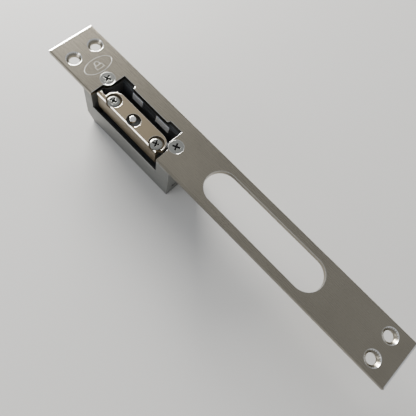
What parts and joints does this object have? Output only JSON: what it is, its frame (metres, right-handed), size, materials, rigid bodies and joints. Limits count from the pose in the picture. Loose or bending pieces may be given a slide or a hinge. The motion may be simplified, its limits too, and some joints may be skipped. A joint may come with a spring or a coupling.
{
  "type": "electric door strike",
  "caption": "Electric door strike: a long flat faceplate with a deadbolt slot, a housing behind it and a swing keeper released by an electromagnet.",
  "frame": {"origin": "on the flat back of the housing, under the middle of the faceplate", "axes": "+X along the faceplate towards the deadbolt slot, -Y towards the side the door opens to, +Z out of the faceplate's front"},
  "size_m": [0.25, 0.03, 0.031],
  "materials": {
    "satin_steel": "satin brushed stainless steel",
    "cast_zinc": "die-cast zinc, matt",
    "cast_zinc_dark": "die-cast zinc, dark matt",
    "nickel": "satin nickel with polished edges",
    "bright_steel": "bright zinc plated",
    "spring_steel": "drawn wire",
    "soft_iron": "plated soft iron",
    "black_plastic": "moulded",
    "pale_plastic": "moulded",
    "copper_wire": "enamelled wire",
    "red_insulation": "insulated wire",
    "brass": "plain"
  },
  "bodies": {
    "frame": {"strike_plate": "satin_steel", "plate_screws": "bright_steel", "housing": "cast_zinc", "back_cover": "satin_steel", "cover_screws": "bright_steel", "cavity_liner": "black_plastic", "guide_strips": "spring_steel", "keeper_axle": "bright_steel", "lever_axle": "bright_steel", "armature_axle": "bright_steel", "magnet_yoke": "soft_iron", "magnet_core": "soft_iron", "coil_bobbin": "pale_plastic", "coil_winding": "copper_wire", "coil_leads": "red_insulation", "terminal_block": "black_plastic", "terminal_clamps": "brass", "terminal_screws": "bright_steel", "lever_spring": "spring_steel", "armature_spring": "spring_steel", "keeper_spring": "spring_steel"},
    "carrier": {"keeper_carrier": "cast_zinc_dark", "keeper_screws": "bright_steel", "keeper_pin": "bright_steel"},
    "keeper": {"keeper_face": "nickel"},
    "lever": {"locking_lever": "soft_iron"},
    "armature": {"armature": "soft_iron"}
  },
  "joints": [
    {"name": "keeper_swing", "type": "hinge", "parent": "frame", "child": "carrier", "pos_m": [-0.062, -0.0039, 0.023], "axis": [1, 0, 0], "range_deg": [0, 85], "stiffness_Nm_per_rad": 0.004, "springref_deg": -11.46, "deforming": ["keeper_spring"]},
    {"name": "keeper_adjust", "type": "slide", "parent": "carrier", "child": "keeper", "axis": [0, -1, 0], "range_m": [0, 0.001]},
    {"name": "lever_swing", "type": "hinge", "parent": "frame", "child": "lever", "pos_m": [-0.0628, -0.0039, 0.007], "axis": [0, -1, 0], "range_deg": [0, 16.5], "deforming": ["lever_spring"]},
    {"name": "armature_tilt", "type": "hinge", "parent": "frame", "child": "armature", "pos_m": [-0.0554, -0.0039, 0.0036], "axis": [0, 1, 0], "range_deg": [0, 6.2], "deforming": ["armature_spring"]}
  ],
  "couplings": [
    {"joint": "lever_swing", "follows": "keeper_swing", "ratio": 0.19},
    {"joint": "armature_tilt", "follows": "keeper_swing", "ratio": 0.0706}
  ]
}
